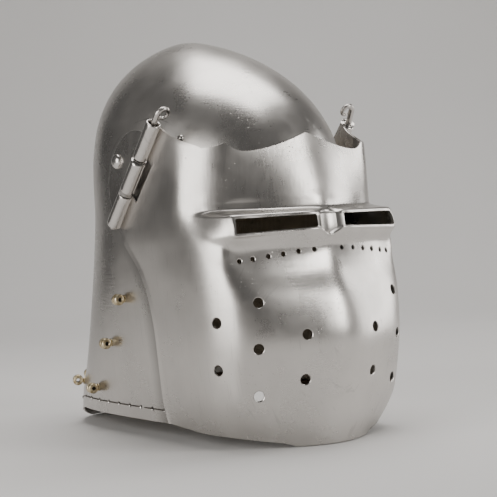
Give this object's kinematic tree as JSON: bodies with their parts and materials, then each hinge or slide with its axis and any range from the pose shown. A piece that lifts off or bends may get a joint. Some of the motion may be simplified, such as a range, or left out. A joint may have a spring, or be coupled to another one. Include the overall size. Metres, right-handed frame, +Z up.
{
  "type": "knight helmet",
  "caption": "Visored steel bascinet with a lift-up face plate on pull-out pin hinges, eye slits, breathing holes, lace studs round the neck edge and a padded lining.",
  "frame": {"origin": "centre of the bounding box at ground level; the chin edge of the visor and the back of the neck edge stand on z = 0", "axes": "+X to the wearer's left, -Y the way the face looks, +Z up"},
  "size_m": [0.2214, 0.3257, 0.339],
  "materials": {
    "polished_steel": "satin polish with fine hand-burnishing marks",
    "pin_steel": "plain drawn wire, slightly dull",
    "brass": "turned, softly tarnished",
    "quilted_linen": "stuffed and quilted linen",
    "leather": "dark vegetable-tanned strip",
    "waxed_thread": "black waxed linen thread"
  },
  "bodies": {
    "helmet": {"skull": "polished_steel", "lining": "quilted_linen", "lining_strip": "leather", "lining_thread": "waxed_thread", "pivot_rivet_right": "polished_steel", "pivot_rivet_left": "polished_steel", "pivot_washer_right": "pin_steel", "pivot_washer_left": "pin_steel", "lining_rivet_right": "polished_steel", "lining_rivet_left": "polished_steel", "vervelle_right_1": "brass", "vervelle_right_2": "brass", "vervelle_right_3": "brass", "vervelle_right_4": "brass", "vervelle_right_5": "brass", "vervelle_left_1": "brass", "vervelle_left_2": "brass", "vervelle_left_3": "brass", "vervelle_left_4": "brass", "vervelle_left_5": "brass", "vervelle_nape": "brass"},
    "visor": {"visor": "polished_steel", "hinge_plate_right": "polished_steel", "hinge_plate_left": "polished_steel"},
    "pin_right": {"hinge_pin_right": "pin_steel"},
    "pin_left": {"hinge_pin_left": "pin_steel"}
  },
  "joints": [
    {"name": "visor_lift", "type": "hinge", "parent": "helmet", "child": "visor", "pos_m": [0, 0.01066, 0.23398], "axis": [-1, 0, 0], "range_deg": [0, 90]},
    {"name": "pin_right_pull", "type": "slide", "parent": "visor", "child": "pin_right", "axis": [0, -0.6317, 0.7752], "range_m": [0, 0.112]},
    {"name": "pin_left_pull", "type": "slide", "parent": "visor", "child": "pin_left", "axis": [0, -0.6317, 0.7752], "range_m": [0, 0.112]}
  ]
}
